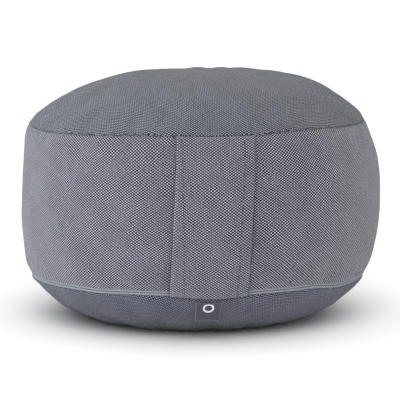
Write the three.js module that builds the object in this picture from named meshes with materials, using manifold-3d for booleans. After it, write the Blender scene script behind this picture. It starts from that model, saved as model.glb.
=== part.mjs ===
// Round floor cushion: a zipped cover with a carrying handle, over a zipped liner bag full of husks.
// Millimetres, +Z up. The origin is the middle of the patch that the cushion stands on, and the
// handle faces -Y. Angles round the cushion start at the handle and grow towards +X.

import * as THREE from 'three';
import { mergeVertices } from 'three/addons/utils/BufferGeometryUtils.js';
import Module from 'manifold-3d';

const wasm = await Module();
wasm.setup();

// ---- driving dimensions ----

// The outer faces of the cover and of the liner. Seam radii and heights are where two panels meet.
const COVER = {
  widest: 170, widestZ: 106.5, topR: 158.3, topZ: 186, baseR: 160.3, baseZ: 41,
  footR: 79, low: 0, high: 231,
};
const LINER = {
  widest: 163.5, widestZ: 106.5, topR: 150.5, topZ: 183.5, baseR: 150, baseZ: 42,
  footR: 76, low: 1.9, high: 228.9,
};
const FILLING = {
  widest: 161.8, widestZ: 106.5, topR: 148.6, topZ: 182, baseR: 148, baseZ: 43,
  footR: 75, low: 3.6, high: 227.2,
};

const LOWER_BULGE = 2;        // how fast the side curves in below its widest height
const UPPER_BULGE = 2.55;     // and above it
const CROWN = 3.3;            // flatness of the top
const BASE_CURVE = 2.5;       // flatness of the base round the foot

const COVER_STEPS = 60;       // facets round the cover
const LINER_STEPS = 48;       // facets round the liner and the filling
const COVER_CLOTH = 1.3;      // thickness of the cover cloth
const LINER_CLOTH = 1;        // thickness of the liner cloth
const SEAM_GAP = 0.3;         // play between two panels at a seam
const ALLOWANCE = 6;          // width of cloth turned in at a cover seam
const ALLOWANCE_CLOTH = 1.2;

// Zip sizes, measured across the tapes (u, upwards) and out from their middle face (n).
const TAPE_HALF = 0.3;        // half the thickness of a tape
const TAPE_SPLIT = 0.65;      // from the middle of the zip to a tape's edge
const TAPE_TOP = 8;           // from the middle of the zip to a tape's far edge
const COIL = { near: 0.65, far: 2.15, front: -0.7, back: -2.3 };
const HEM = 2.75;             // from the middle of the zip to the folded edge of the cloth
const CLOTH_FACE = 1.9;       // how far the cover's outer face stands above the tape's middle face
const LINER_FACE = 2.7;       // and the liner's

const SLIDER = {
  halfLength: 4.2, halfFront: 2.4, halfBack: 3, front: 0.65, frontCloth: 1,
  back: -2.95, backCloth: 0.9, flange: 0.5, flangeTop: -0.95, webHalf: 0.3, webLength: 5.6,
};
const BAIL = { half: 0.6, reach: 2.8, post: 0.7, under: 3, over: 3.6 };
const LOW_BAIL = { half: 0.6, reach: 2.8, post: 0.7, under: 2.1, over: 2.6 };
const PULL = {
  pivot: 2.35, half: 0.35, root: 0.4, windowEnd: 3.9, windowHalf: 1.1, width: 4.2, length: 17,
};

const HANDLE = {
  half: 12, steps: 8, cloth: 2, twist: 2.4,
  // gap between the band's outer face and the handle's inner face, from the top seam to the base seam
  gaps: [[186.4, 0.4], [181, 2.6], [170, 5.2], [150, 6.7], [120, 7.2], [90, 7], [66, 5.6], [52, 3.9],
    [45.5, 3], [42.4, 2.5], [40.8, 0.5]],
};
const LABEL = { angle: -1.2, width: 23, reach: 17, steps: 4, cloth: 1, lift: 0.8, drop: 1.2 };

// ---- the shape of a round cushion ----

function sideRadius(shape, z) {
  if (z < shape.widestZ) {
    const below = (shape.widestZ - z) / (shape.widestZ - shape.baseZ);
    return shape.widest - (shape.widest - shape.baseR) * below ** LOWER_BULGE;
  }
  const above = (z - shape.widestZ) / (shape.topZ - shape.widestZ);
  return shape.widest - (shape.widest - shape.topR) * above ** UPPER_BULGE;
}

function crownHeight(shape, r) {
  return shape.topZ + (shape.high - shape.topZ) * (1 - (r / shape.topR) ** CROWN);
}

function baseHeight(shape, r) {
  const out = Math.max(0, (r - shape.footR) / (shape.baseR - shape.footR));
  return shape.low + (shape.baseZ - shape.low) * out ** BASE_CURVE;
}

// The inner face of a panel, one cloth thickness inside its outer face.
function inside(shape, cloth) {
  return {
    ...shape,
    widest: shape.widest - cloth,
    topR: shape.topR - cloth,
    baseR: shape.baseR - cloth,
    footR: shape.footR - cloth / 2,
    low: shape.low + cloth,
    high: shape.high - cloth,
  };
}

// Where the facets of every panel lie, as shares of the way across it, so that nested panels nest.
const CROWN_SHARES = [0.88, 0.7, 0.42, 0];
const SIDE_SHARES = [0.1, 0.3, 0.5, 0.68, 0.86];
const BASE_SHARES = [0.32, 0.6, 0.83];

function between(from, to, count) {
  return Array.from({ length: count + 1 }, (_, i) => from + ((to - from) * i) / count);
}

const onSide = (shape, z) => [sideRadius(shape, z), z];
const onCrown = (shape, r) => [r, crownHeight(shape, r)];
const onBase = (shape, r) => [r, baseHeight(shape, r)];

// From the base seam up to the top seam.
function sidePoints(shape, from, to) {
  const heights = SIDE_SHARES.map((share) => shape.baseZ + share * (shape.topZ - shape.baseZ));
  return [from, ...heights, to].map((z) => onSide(shape, z));
}

// From the rim in to the middle.
function crownPoints(shape, rim) {
  return [rim, ...CROWN_SHARES.map((share) => share * shape.topR)].map((r) => onCrown(shape, r));
}

// From the middle out to the rim.
function basePoints(shape, rim) {
  const radii = BASE_SHARES.map((share) => shape.footR + share * (shape.baseR - shape.footR));
  return [[0, shape.low], ...[shape.footR, ...radii, rim].map((r) => onBase(shape, r))];
}

// ---- solids ----

// A closed (r, z) profile turned about Z. Facet edges start at the handle.
function turned(profile, steps) {
  const points = [...profile, profile[0]].map(([r, z]) => new THREE.Vector2(r, z));
  return new THREE.LatheGeometry(points, steps).rotateX(Math.PI / 2);
}

class Ring extends THREE.Curve {
  constructor(radius, from, to) {
    super();
    this.radius = radius;
    this.from = from;
    this.to = to;
  }

  getPoint(t, target = new THREE.Vector3()) {
    const angle = THREE.MathUtils.degToRad(this.from + (this.to - this.from) * t);
    return target.set(this.radius * Math.sin(angle), -this.radius * Math.cos(angle), 0);
  }
}

// An (r, z) section carried round Z from one angle to another.
function swept(section, from, to, steps) {
  const radius = section[0][0];
  const shape = new THREE.Shape(section.map(([r, z]) => new THREE.Vector2(-z, radius - r)));
  const path = new Ring(radius, from, to);
  return new THREE.ExtrudeGeometry(shape, { extrudePath: path, steps, bevelEnabled: false });
}

function solidOf(geometry) {
  const bare = geometry.clone();
  bare.deleteAttribute('normal');
  bare.deleteAttribute('uv');
  const merged = mergeVertices(bare, 1e-4);
  return new wasm.Manifold(new wasm.Mesh({
    numProp: 3,
    vertProperties: new Float32Array(merged.attributes.position.array),
    triVerts: new Uint32Array(merged.index.array),
  }));
}

function geometryOf(solid) {
  const mesh = solid.getMesh();
  const geometry = new THREE.BufferGeometry();
  geometry.setAttribute('position', new THREE.BufferAttribute(mesh.vertProperties, 3));
  geometry.setIndex(new THREE.BufferAttribute(mesh.triVerts, 1));
  return geometry;
}

function cut(geometry, ...tools) {
  const left = tools.reduce((solid, tool) => solid.subtract(solidOf(tool)), solidOf(geometry));
  return geometryOf(left);
}

function joined(first, ...others) {
  const whole = others.reduce((solid, other) => solid.add(solidOf(other)), solidOf(first));
  return geometryOf(whole);
}

// A box between two corners given as [along the zip, up across it, out of it].
function block([along0, up0, out0], [along1, up1, out1]) {
  const box = new THREE.BoxGeometry(along1 - along0, out1 - out0, up1 - up0);
  return box.translate((along0 + along1) / 2, -(out0 + out1) / 2, (up0 + up1) / 2);
}

// ---- zips ----

// Where a zip runs: the tilt, radius and height of its middle line, face below the cloth's outer face.
// The tapes and coils run between angles round Z, and steps are facets in a full turn.
function zipLine(shape, z, face, angles) {
  const tilt = Math.atan(sideRadius(shape, z + 0.5) - sideRadius(shape, z - 0.5));
  const radius = sideRadius(shape, z) - face * Math.cos(tilt);
  return { z: z + face * Math.sin(tilt), tilt, radius, face, ...angles };
}

// The (r, z) point at u up the tape and n out of it.
function onZip(zip, u, n) {
  const sin = Math.sin(zip.tilt);
  const cos = Math.cos(zip.tilt);
  return [zip.radius + u * sin + n * cos, zip.z + u * cos - n * sin];
}

function zipRun(zip, section, from, to) {
  const steps = Math.round(((to - from) * zip.steps) / 360);
  return swept(section.map(([u, n]) => onZip(zip, u, n)), from, to, steps);
}

function rectangle(u0, u1, n0, n1) {
  return [[u0, n0], [u1, n0], [u1, n1], [u0, n1]];
}

function zipTape(zip, side) {
  const section = rectangle(side * TAPE_SPLIT, side * TAPE_TOP, -TAPE_HALF, TAPE_HALF);
  return zipRun(zip, section, zip.from, zip.to);
}

// The cover's lower tape turns in at the base seam, so its section is an L.
function coverLowerTape(zip) {
  const turn = -BASE_SEAM_U + SEAM_GAP;
  const section = [
    [-TAPE_SPLIT, TAPE_HALF], [turn, TAPE_HALF], [turn, -ALLOWANCE],
    [turn + 2 * TAPE_HALF, -ALLOWANCE], [turn + 2 * TAPE_HALF, -TAPE_HALF], [-TAPE_SPLIT, -TAPE_HALF],
  ];
  return zipRun(zip, section, zip.from, zip.to);
}

function zipCoil(zip, side) {
  const section = rectangle(side * COIL.near, side * COIL.far, COIL.back, COIL.front);
  return zipRun(zip, section, zip.coilFrom, zip.coilTo);
}

// The slot in the cloth that a zip's teeth show through.
function zipSlot(zip, below) {
  const section = rectangle(-below, HEM, -ALLOWANCE, 2 * zip.face);
  return zipRun(zip, section, zip.from, zip.to);
}

const STOP_LENGTH = 1.8;
const stopBlock = (u0, u1) => block([-STOP_LENGTH / 2, u0, COIL.back], [STOP_LENGTH / 2, u1, COIL.front]);

function sliderBody(bail) {
  const s = SLIDER;
  const length = s.halfLength;
  const topFace = s.front + s.frontCloth;
  const backPlate = block([-length, -s.halfBack, s.back - s.backCloth], [length, s.halfBack, s.back]);
  const flanges = [-1, 1].map((side) => {
    const edges = [side * s.halfBack, side * (s.halfBack - s.flange)].sort((a, b) => a - b);
    return block([-length, edges[0], s.back - s.backCloth], [length, edges[1], s.flangeTop]);
  });
  const web = block(
    [-s.webLength / 2, -s.webHalf, s.back - s.backCloth / 2],
    [s.webLength / 2, s.webHalf, s.front + s.frontCloth / 2],
  );
  const frontPlate = block([-length, -s.halfFront, s.front], [length, s.halfFront, topFace]);
  const posts = [-1, 1].map((end) => {
    const ends = [end * bail.reach, end * (bail.reach - bail.post)].sort((a, b) => a - b);
    return block([ends[0], -bail.half, topFace - 0.2], [ends[1], bail.half, bail.over]);
  });
  const bar = block([-bail.reach, -bail.half, bail.under], [bail.reach, bail.half, bail.over]);
  return joined(frontPlate, backPlate, ...flanges, web, ...posts, bar);
}

// A flat tab with a window near its root. Its crossbar turns under the slider's bail at x = 0.
function pullTab() {
  const outline = new THREE.Shape();
  const half = PULL.width / 2;
  outline.moveTo(PULL.root, -half);
  outline.lineTo(PULL.root, half);
  outline.lineTo(-PULL.windowEnd - 1, half);
  outline.lineTo(-PULL.length + half, half);
  outline.absarc(-PULL.length + half, 0, half, Math.PI / 2, (3 * Math.PI) / 2, false);
  outline.closePath();
  const window = new THREE.Path();
  window.moveTo(-PULL.root, -PULL.windowHalf);
  window.lineTo(-PULL.root, PULL.windowHalf);
  window.lineTo(-PULL.windowEnd, PULL.windowHalf);
  window.lineTo(-PULL.windowEnd, -PULL.windowHalf);
  window.closePath();
  outline.holes.push(window);
  const settings = { depth: 2 * PULL.half, bevelEnabled: false, curveSegments: 8 };
  const flat = new THREE.ExtrudeGeometry(outline, settings).translate(0, 0, -PULL.half);
  return flat.rotateX(Math.PI / 2);
}

// ---- the two zips, and where their pieces stand ----

const COVER_ZIP = zipLine(COVER, 45, CLOTH_FACE, {
  from: -174, to: 174, coilFrom: -168, coilTo: 168, steps: COVER_STEPS,
});
const LINER_ZIP = zipLine(LINER, 106.5, LINER_FACE, {
  from: 120, to: 240, coilFrom: 127.5, coilTo: 232.5, steps: LINER_STEPS,
});
const BASE_SEAM_U = 4.4;      // from the middle of the cover's zip down to the base seam

const COVER_SLIDER_ANGLE = 166;
const LINER_SLIDER_ANGLE = 230.5;
const STOP_CLEARANCE = SEAM_GAP + STOP_LENGTH / 2;

const angleOf = (zip, length) => THREE.MathUtils.radToDeg(length / zip.radius);

// ---- cover ----

function topPanel() {
  const inner = inside(COVER, COVER_CLOTH);
  const under = COVER.topZ + SEAM_GAP / 2;
  const over = under + ALLOWANCE_CLOTH;
  const drop = (over - inner.topZ) / (inner.high - inner.topZ);
  const meet = inner.topR * (1 - drop) ** (1 / CROWN);
  const lip = COVER.topR - ALLOWANCE;
  return turned([
    [lip, under], [COVER.topR, under], ...crownPoints(COVER, COVER.topR - SEAM_GAP / 2),
    ...crownPoints(inner, meet).reverse(), [lip, over],
  ], COVER_STEPS);
}

function sideBand() {
  const inner = inside(COVER, COVER_CLOTH);
  const top = COVER.topZ - SEAM_GAP / 2;
  const lip = COVER.topR - ALLOWANCE;
  const foot = onZip(COVER_ZIP, 2 * SEAM_GAP - BASE_SEAM_U, CLOTH_FACE - COVER_CLOTH)[1];
  const ring = turned([
    ...sidePoints(COVER, foot, top), [lip, top], [lip, top - ALLOWANCE_CLOTH],
    ...sidePoints(inner, foot, top - ALLOWANCE_CLOTH).reverse(),
  ], COVER_STEPS);
  return cut(ring, zipSlot(COVER_ZIP, 2 * BASE_SEAM_U));
}

function basePanel() {
  const inner = inside(COVER, COVER_CLOTH);
  const seam = (u, n) => onZip(COVER_ZIP, u - BASE_SEAM_U, n);
  return turned([
    ...basePoints(COVER, seam(0, CLOTH_FACE)[0] - 3), seam(0, CLOTH_FACE),
    seam(0, -ALLOWANCE), seam(-ALLOWANCE_CLOTH, -ALLOWANCE),
    ...basePoints(inner, inner.baseR - 1.6).reverse(),
  ], COVER_STEPS);
}

// The handle's inner and outer faces are a smooth curve and the same curve moved out.
function handleSection() {
  const inner = HANDLE.gaps.map(([z, gap]) => new THREE.Vector2(sideRadius(COVER, z) + gap, z));
  const outer = inner.map((point, i) => {
    const before = inner[Math.max(0, i - 1)];
    const after = inner[Math.min(inner.length - 1, i + 1)];
    const along = after.clone().sub(before).normalize();
    return new THREE.Vector2(-along.y, along.x).multiplyScalar(HANDLE.cloth).add(point);
  });
  return [...outer.reverse(), ...inner].map(({ x, y }) => [x, y]);
}

// Turns each point about Z by an angle that grows with its height, so the handle leans.
function leaned(geometry, twist) {
  const position = geometry.attributes.position;
  const middle = (COVER.topZ + COVER.baseZ) / 2;
  const point = new THREE.Vector3();
  const up = new THREE.Vector3(0, 0, 1);
  for (let i = 0; i < position.count; i += 1) {
    point.fromBufferAttribute(position, i);
    const share = (point.z - middle) / (COVER.topZ - COVER.baseZ);
    point.applyAxisAngle(up, THREE.MathUtils.degToRad(twist * share));
    position.setXYZ(i, point.x, point.y, point.z);
  }
  return geometry;
}

function carryHandle() {
  return leaned(swept(handleSection(), -HANDLE.half, HANDLE.half, HANDLE.steps), HANDLE.twist);
}

// A folded tab that hangs from the base seam, just clear of the base panel.
function wovenLabel() {
  const start = onZip(COVER_ZIP, -BASE_SEAM_U, CLOTH_FACE)[0] - LABEL.drop;
  const inner = between(start, start - LABEL.reach, LABEL.steps).map((r) => {
    const rise = baseHeight(COVER, r + 1) - baseHeight(COVER, r - 1);
    return [new THREE.Vector2(...onBase(COVER, r)), new THREE.Vector2(rise, -2).normalize()];
  });
  const face = (lift) => inner.map(([p, normal]) => [p.x + normal.x * lift, p.y + normal.y * lift]);
  const half = THREE.MathUtils.radToDeg(LABEL.width / 2 / start);
  const section = [...face(LABEL.lift), ...face(LABEL.lift + LABEL.cloth).reverse()];
  return swept(section, LABEL.angle - half, LABEL.angle + half, 4);
}

// ---- liner and filling ----

function linerTop() {
  const inner = inside(LINER, LINER_CLOTH);
  return turned([
    ...crownPoints(LINER, LINER.topR - SEAM_GAP),
    ...crownPoints(inner, inner.topR - SEAM_GAP).reverse(),
  ], LINER_STEPS);
}

function linerBand() {
  const inner = inside(LINER, LINER_CLOTH);
  const foot = LINER.baseZ + SEAM_GAP;
  const top = LINER.topZ - SEAM_GAP;
  const ring = turned([
    ...sidePoints(LINER, foot, top), ...sidePoints(inner, foot, top).reverse(),
  ], LINER_STEPS);
  return cut(ring, zipSlot(LINER_ZIP, HEM));
}

function linerBase() {
  const inner = inside(LINER, LINER_CLOTH);
  return turned([
    ...basePoints(LINER, LINER.baseR - SEAM_GAP),
    ...basePoints(inner, inner.baseR - SEAM_GAP).reverse(),
  ], LINER_STEPS);
}

// Loose husks, packed into one body that leaves room for the back of the liner's zip.
function hullFilling() {
  const body = turned([
    ...basePoints(FILLING, FILLING.baseR),
    ...sidePoints(FILLING, FILLING.baseZ, FILLING.topZ).slice(1),
    ...crownPoints(FILLING, FILLING.topR).slice(1),
  ], LINER_STEPS);
  const room = rectangle(-TAPE_TOP - 1, TAPE_TOP + 1, -ALLOWANCE, 2 * LINER_FACE);
  return cut(body, zipRun(LINER_ZIP, room, LINER_ZIP.from - 7.5, LINER_ZIP.to + 7.5));
}

// ---- assembly ----

const CLOTH_COLOUR = 0x777a82;
const COVER_FINISH = { color: CLOTH_COLOUR, roughness: 0.95, metalness: 0 };
const HANDLE_FINISH = { color: 0x73747d, roughness: 0.95, metalness: 0 };
const TAPE_FINISH = { color: 0x8b939e, roughness: 0.8, metalness: 0 };
const COIL_FINISH = { color: 0x5d6470, roughness: 0.5, metalness: 0 };
const METAL_FINISH = { color: 0x6c727b, roughness: 0.35, metalness: 0.9 };
const LABEL_FINISH = { color: 0x575964, roughness: 0.85, metalness: 0 };
const LINER_FINISH = { color: 0xe6e0d0, roughness: 0.95, metalness: 0 };
const HUSK_FINISH = { color: 0xb08d5b, roughness: 1, metalness: 0 };

function piece(name, geometry, finish) {
  const mesh = new THREE.Mesh(geometry, new THREE.MeshStandardMaterial(finish));
  mesh.name = name;
  return mesh;
}

// Stands pieces made in zip axes (x along, y inwards, z up the tape) at an angle on a zip.
function onZipAt(zip, angle, ...pieces) {
  const stand = new THREE.Group();
  stand.position.set(0, -zip.radius, zip.z);
  stand.rotation.x = zip.tilt;
  stand.add(...pieces);
  const turn = new THREE.Group();
  turn.rotation.z = THREE.MathUtils.degToRad(angle);
  turn.add(stand);
  return turn;
}

function zipStops(zip, name, closedEnd, openEnd) {
  const sign = Math.sign(closedEnd - openEnd);
  const clear = sign * angleOf(zip, STOP_CLEARANCE);
  const upper = piece(`${name}_zip_top_stop_upper`, stopBlock(COIL.near, COIL.far), METAL_FINISH);
  const lower = piece(`${name}_zip_top_stop_lower`, stopBlock(-COIL.far, -COIL.near), METAL_FINISH);
  const end = piece(`${name}_zip_end_stop`, stopBlock(-COIL.far, COIL.far), METAL_FINISH);
  return [
    onZipAt(zip, closedEnd + clear, upper, lower),
    onZipAt(zip, openEnd - clear, end),
  ];
}

function coverPieces() {
  const pull = piece('cover_zip_pull', pullTab(), METAL_FINISH);
  pull.position.y = -PULL.pivot;
  const slider = piece('cover_zip_slider', sliderBody(BAIL), METAL_FINISH);
  return [
    piece('top_panel', topPanel(), COVER_FINISH),
    piece('side_band', sideBand(), COVER_FINISH),
    piece('base_panel', basePanel(), COVER_FINISH),
    piece('carry_handle', carryHandle(), HANDLE_FINISH),
    piece('woven_label', wovenLabel(), LABEL_FINISH),
    piece('cover_zip_tape_upper', zipTape(COVER_ZIP, 1), TAPE_FINISH),
    piece('cover_zip_tape_lower', coverLowerTape(COVER_ZIP), TAPE_FINISH),
    piece('cover_zip_coil_upper', zipCoil(COVER_ZIP, 1), COIL_FINISH),
    piece('cover_zip_coil_lower', zipCoil(COVER_ZIP, -1), COIL_FINISH),
    ...zipStops(COVER_ZIP, 'cover', COVER_ZIP.coilTo, COVER_ZIP.coilFrom),
    onZipAt(COVER_ZIP, COVER_SLIDER_ANGLE, slider, pull),
  ];
}

function linerPieces() {
  const slider = piece('liner_zip_slider', sliderBody(LOW_BAIL), METAL_FINISH);
  return [
    piece('liner_top_panel', linerTop(), LINER_FINISH),
    piece('liner_side_band', linerBand(), LINER_FINISH),
    piece('liner_base_panel', linerBase(), LINER_FINISH),
    piece('liner_zip_tape_upper', zipTape(LINER_ZIP, 1), LINER_FINISH),
    piece('liner_zip_tape_lower', zipTape(LINER_ZIP, -1), LINER_FINISH),
    piece('liner_zip_coil_upper', zipCoil(LINER_ZIP, 1), LINER_FINISH),
    piece('liner_zip_coil_lower', zipCoil(LINER_ZIP, -1), LINER_FINISH),
    ...zipStops(LINER_ZIP, 'liner', LINER_ZIP.coilTo, LINER_ZIP.coilFrom),
    onZipAt(LINER_ZIP, LINER_SLIDER_ANGLE, slider),
    piece('hull_filling', hullFilling(), HUSK_FINISH),
  ];
}

const cushion = new THREE.Group();
cushion.add(...coverPieces(), ...linerPieces());

export default cushion;
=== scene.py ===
"""A round floor cushion: zipped cover, carrying handle, label and zip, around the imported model.

Lengths are metres. The handle faces -Y. Angles round the cushion start at the handle and grow
towards +X. On a zip, u runs up across the tapes and n runs out of them.
"""
import math

import bmesh
import bpy
import numpy as np
from mathutils import Matrix, Vector


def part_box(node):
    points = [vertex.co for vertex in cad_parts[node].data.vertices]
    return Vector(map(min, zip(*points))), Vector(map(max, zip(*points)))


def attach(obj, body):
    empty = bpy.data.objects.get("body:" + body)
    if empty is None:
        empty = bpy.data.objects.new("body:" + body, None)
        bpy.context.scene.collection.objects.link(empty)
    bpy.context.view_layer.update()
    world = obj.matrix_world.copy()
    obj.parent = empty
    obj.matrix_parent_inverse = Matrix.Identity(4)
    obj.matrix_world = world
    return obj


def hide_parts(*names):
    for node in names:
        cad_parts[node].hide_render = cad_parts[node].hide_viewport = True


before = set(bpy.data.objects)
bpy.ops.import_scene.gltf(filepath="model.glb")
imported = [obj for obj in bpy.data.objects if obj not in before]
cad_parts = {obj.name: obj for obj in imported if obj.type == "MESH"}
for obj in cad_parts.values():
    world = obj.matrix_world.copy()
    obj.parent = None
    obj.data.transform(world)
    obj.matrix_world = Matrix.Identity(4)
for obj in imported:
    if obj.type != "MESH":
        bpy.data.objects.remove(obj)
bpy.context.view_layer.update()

MM = 0.001
TAU = 2 * math.pi

# ---- sizes ----

top_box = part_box("top_panel")
band_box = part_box("side_band")
base_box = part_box("base_panel")

TOP_R = top_box[1].x                    # the top seam
TOP_Z = top_box[0].z - 0.15 * MM        # less half the play between the two panels
HEIGHT = top_box[1].z
WIDEST = band_box[1].x
WIDEST_Z = 106.5 * MM                   # height of the widest part
BASE_R = base_box[1].x                  # the base seam
BASE_Z = band_box[0].z - 0.7 * MM
FOOT_R = 79 * MM                        # the flat patch that it stands on
LOWER_BULGE, UPPER_BULGE = 2.0, 2.55    # how fast the side curves in below and above the widest part
CROWN, BASE_CURVE = 3.5, 2.5            # how flat the top is, and the base round the foot
CLOTH = 1.1 * MM                        # thickness of the cover cloth
TURN_IN = 6 * MM                        # cloth turned in at a seam

ROUND = 320                             # columns of mesh round the cushion
ROW = 3.2 * MM                          # spacing of its rows
CLOTH_R = 165 * MM                      # radius at which the band's cloth was cut

ZIP_LEVEL = 45 * MM
ZIP_DEPTH = 1.9 * MM                    # the tapes' middle face below the cloth's outer face
ZIP_END = math.radians(174)             # each end of the zip, from the handle
HEM_U = 2.5 * MM                        # the band's folded edge
BASE_EDGE_U = -3.0 * MM                 # the base cloth's edge
ZIP_CLOSE = 0.5 * MM                    # how much nearer both edges come away from the slider
SLIDER_ANGLE = math.radians(166)        # where the slider is parked

HANDLE_HALF = 35.2 * MM                 # half the width of the handle
HANDLE_TWIST = math.radians(2.4)        # how far the handle leans, from the base seam to the top
LABEL_ANGLE = math.radians(-0.2)
LABEL_HALF = 11.8 * MM
LABEL_LENGTH = 25 * MM
LABEL_CURL = 0.6 * MM                   # how far its lower corners turn out
RING_R, RING_HOLE_R = 5.2 * MM, 3.5 * MM

# How the filled cushion sits. LEAN has heights and moves in millimetres, and the other two lists
# have angles in degrees and moves in millimetres.
SIDE_PINCH = 2.3 * MM                   # how far the zip draws in at the two sides
PINCH_Z = 39 * MM
PINCH_HEIGHT = 10.5 * MM
PINCH_ANGLE, PINCH_SPREAD = 80, 28      # degrees from the handle
SIDE_TILT = 0.017                       # the top stands higher towards +X
LEAN = [(0, -3), (20, -3), (45, -2), (75, -0.3), (105, 0.8), (135, 0.8), (150, 0.3), (165, -1.2),
        (180, -3.2), (190, -3.2), (200, -2), (215, -0.6), (240, 0)]
ZIP_SAG = [(-180, 0), (-145, 0), (-110, -2.5), (-78, -4.2), (-62, -2.9), (-48, -0.8), (-38, -1.7),
           (-27, 0.4), (-13, 1), (0, -1.7), (13, 0.9), (23, 1.4), (32, 0.9), (39, 0.8), (47, -2),
           (55, -3.4), (66, -3.4), (90, -3), (120, -1.4), (145, 0), (180, 0)]
TOP_SAG = [(-180, 0), (-120, 0.5), (-90, 0.5), (-67, -0.5), (-52, 0), (-37, 1.4), (-22, 2.4),
           (-10, 1.5), (2, 0.3), (15, 0.2), (26, 2.1), (40, 2.1), (59, -0.7), (75, -1.5), (95, -1.3),
           (130, 0.4), (180, 0)]


def smooth(low, high, x):
    t = np.clip((np.asarray(x, float) - low) / (high - low), 0, 1)
    return t * t * (3 - 2 * t)


def bulged(z, widest, base, top):
    """Radius at a height of a bulging side. base and top are the (r, z) of its seams."""
    below = np.clip((WIDEST_Z - z) / (WIDEST_Z - base[1]), 0, None)
    above = np.clip((z - WIDEST_Z) / (top[1] - WIDEST_Z), 0, None)
    return widest - (widest - base[0]) * below**LOWER_BULGE - (widest - top[0]) * above**UPPER_BULGE


def crowned(r, top, high, crown):
    """Height at a radius of a crowned top, from its seam to its middle."""
    return top[1] + (high - top[1]) * (1 - np.clip(r / top[0], 0, 1) ** crown)


def dished(r, base, low, foot):
    """Height at a radius of a base that is flat as far out as its foot."""
    return low + (base[1] - low) * np.clip((r - foot) / (base[0] - foot), 0, None) ** BASE_CURVE


def side_radius(z):
    return bulged(z, WIDEST, (BASE_R, BASE_Z), (TOP_R, TOP_Z))


def crown_z(r):
    return crowned(r, (TOP_R, TOP_Z), HEIGHT, CROWN)


def base_z(r):
    return dished(r, (BASE_R, BASE_Z), 0, FOOT_R)


ZIP_TILT = math.atan((side_radius(ZIP_LEVEL + MM / 2) - side_radius(ZIP_LEVEL - MM / 2)) / MM)
ZIP_R = float(side_radius(ZIP_LEVEL)) - ZIP_DEPTH * math.cos(ZIP_TILT)
ZIP_Z = ZIP_LEVEL + ZIP_DEPTH * math.sin(ZIP_TILT)


def on_zip(u, n):
    """(r, z) of a point u up the tape and n out of it."""
    sin, cos = math.sin(ZIP_TILT), math.cos(ZIP_TILT)
    return np.array([ZIP_R + u * sin + n * cos, ZIP_Z + u * cos - n * sin])


def zip_line(level, *points):
    """(r, z) points, each given in millimetres up from a level on the zip and out of the tapes."""
    return [on_zip(level + up * MM, out * MM) for up, out in points]


# ---- unevenness ----

def waves(angle, seed, lowest, highest, count=9):
    """A smooth random line round the cushion, about -1 to 1, that closes on itself."""
    rng = np.random.default_rng(seed)
    total = np.zeros_like(angle)
    for _ in range(count):
        turns = rng.integers(lowest, highest + 1)
        total += rng.uniform(0.4, 1) * np.sin(turns * angle + rng.uniform(0, TAU))
    return total / math.sqrt(count)


def rounded_line(table, softness):
    """A smooth closed curve through (degrees, millimetres) pairs, as a function of angle."""
    degrees, moves = np.array(table, float).T
    fine = np.arange(-180, 180, 0.5)
    window = np.hanning(2 * softness + 1)
    line = np.interp(fine, degrees, moves)
    padded = np.concatenate([line[-softness:], line, line[:softness]])
    line = np.convolve(padded, window / window.sum(), "valid") * MM

    def at(angle):
        turned = (np.degrees(np.asarray(angle, float)) + 180) % 360 - 180
        return np.interp(turned, fine, line, period=360)
    return at


zip_sag = rounded_line(ZIP_SAG, 12)
top_sag = rounded_line(TOP_SAG, 14)


def from_handle(angle):
    """How far an angle is from the handle, on either side of it."""
    return np.abs((np.asarray(angle, float) + math.pi) % TAU - math.pi)


def at_the_back(angle):
    """1 at the back, where the slider parks and the zip runs true, and 0 at the sides."""
    return smooth(math.radians(120), math.radians(150), from_handle(angle))


def zip_wave(angle):
    """How far the zip wanders up and down."""
    ripple = 0.3 * MM * waves(np.asarray(angle, float), 8, 12, 22)
    return zip_sag(angle) + ripple * (1 - at_the_back(angle))


def lean(z):
    """How far the filling pushes the cover sideways at a height."""
    heights, moves = np.array(LEAN).T * MM
    return np.interp(z, heights, moves)


def place(r, z, angle):
    """Points in space from radius, height and angle, with the filling's lean."""
    at_side = np.exp(-((np.degrees(from_handle(angle)) - PINCH_ANGLE) / PINCH_SPREAD) ** 2)
    r = r - SIDE_PINCH * at_side * np.exp(-((z - PINCH_Z) / PINCH_HEIGHT) ** 2)
    x = r * np.sin(angle)
    y = -r * np.cos(angle)
    moved = x + lean(z) * (1 - smooth(0.03, 0.12, y))
    lifted = z + SIDE_TILT * x * smooth(0.055, 0.17, z)
    return np.stack([moved, y, lifted], -1)


# ---- mesh helpers ----

def new_object(name, mesh):
    made = bpy.data.objects.new(name, mesh)
    bpy.context.scene.collection.objects.link(made)
    return made


def shade_smooth(mesh):
    mesh.polygons.foreach_set("use_smooth", [True] * len(mesh.polygons))


def mesh_object(name, points, faces, cloth=None):
    """A smooth shaded mesh. cloth has a place on the flat cloth for each corner of each face."""
    mesh = bpy.data.meshes.new(name)
    mesh.from_pydata(points.tolist(), [], faces)
    if cloth is not None:
        layer = mesh.uv_layers.new(name="cloth")
        layer.data.foreach_set("uv", np.asarray(cloth, np.float32).ravel())
    shade_smooth(mesh)
    mesh.update()
    return new_object(name, mesh)


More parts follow.
